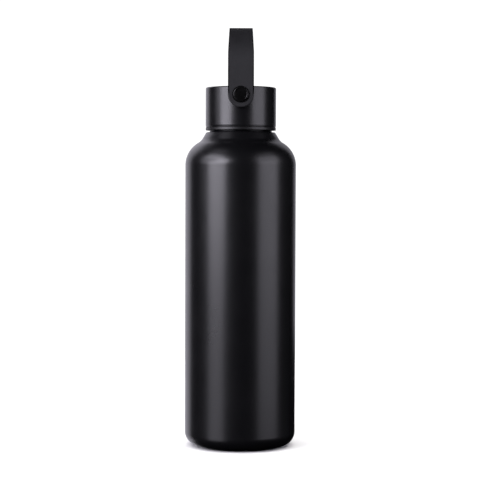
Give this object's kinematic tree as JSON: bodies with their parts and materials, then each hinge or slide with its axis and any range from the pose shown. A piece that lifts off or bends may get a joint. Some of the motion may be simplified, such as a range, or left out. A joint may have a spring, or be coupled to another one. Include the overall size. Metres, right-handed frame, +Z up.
{
  "type": "insulated water bottle",
  "caption": "Tall double-walled vacuum bottle with a rounded shoulder, a plain screw cap and an arched carry handle that swings on two side pins.",
  "frame": {"origin": "centre of the plane that the bottle stands on, under the bottle's axis", "axes": "+Z up along the bottle's axis; -Y is the front, with the front handle pin; +X is to the right seen from the front"},
  "size_m": [0.0738, 0.0738, 0.2784],
  "materials": {
    "powder_coat": "satin black powder coat with a very fine grain",
    "coated_steel": "smooth satin black coat on turned steel",
    "bare_steel": "bare drawn stainless steel",
    "polished_steel": "electropolished stainless steel",
    "port_solder": "dull solder bead",
    "foil": "bright wrapped foil",
    "getter_alloy": "matt pressed metal powder",
    "silicone": "matt grey food-grade silicone",
    "black_polypropylene": "moulded satin black plastic",
    "foam": "white closed-cell foam",
    "insert_brass": "knurled brass",
    "pin_black": "smooth black flat-headed pin",
    "nylon": "natural nylon",
    "strap_rubber": "matt dark grey-black flexible strap"
  },
  "bodies": {
    "bottle": {"outer_shell": "powder_coat", "outer_base": "bare_steel", "base_cover": "coated_steel", "port_plug": "port_solder", "inner_flask": "polished_steel", "inner_base": "polished_steel", "heat_foil": "foil", "getter_holder": "bare_steel", "getter": "getter_alloy"},
    "seal": {"cap_seal": "silicone"},
    "cap": {"cap_shell": "coated_steel", "cap_liner": "black_polypropylene", "cap_insulation": "foam", "boss_insert_front": "insert_brass", "boss_insert_back": "insert_brass", "pivot_pin_front": "pin_black", "pivot_pin_back": "pin_black", "pivot_bush_front": "nylon", "pivot_bush_back": "nylon", "friction_washer_front": "black_polypropylene", "friction_washer_back": "black_polypropylene"},
    "handle": {"carry_handle": "strap_rubber"}
  },
  "joints": [
    {"name": "cap_lift", "type": "slide", "parent": "bottle", "child": "seal", "axis": [0, 0, 1], "range_m": [0, 0.025]},
    {"name": "cap_turn", "type": "hinge", "parent": "seal", "child": "cap", "pos_m": [0, 0, 0.2109], "axis": [0, 0, 1], "range_deg": [0, 1800]},
    {"name": "handle_swing", "type": "hinge", "parent": "cap", "child": "handle", "pos_m": [0, 0, 0.23308], "axis": [0, 1, 0], "range_deg": [-125, 125]}
  ],
  "couplings": [
    {"joint": "cap_lift", "follows": "cap_turn", "m_per_rad": 0.00079577}
  ]
}
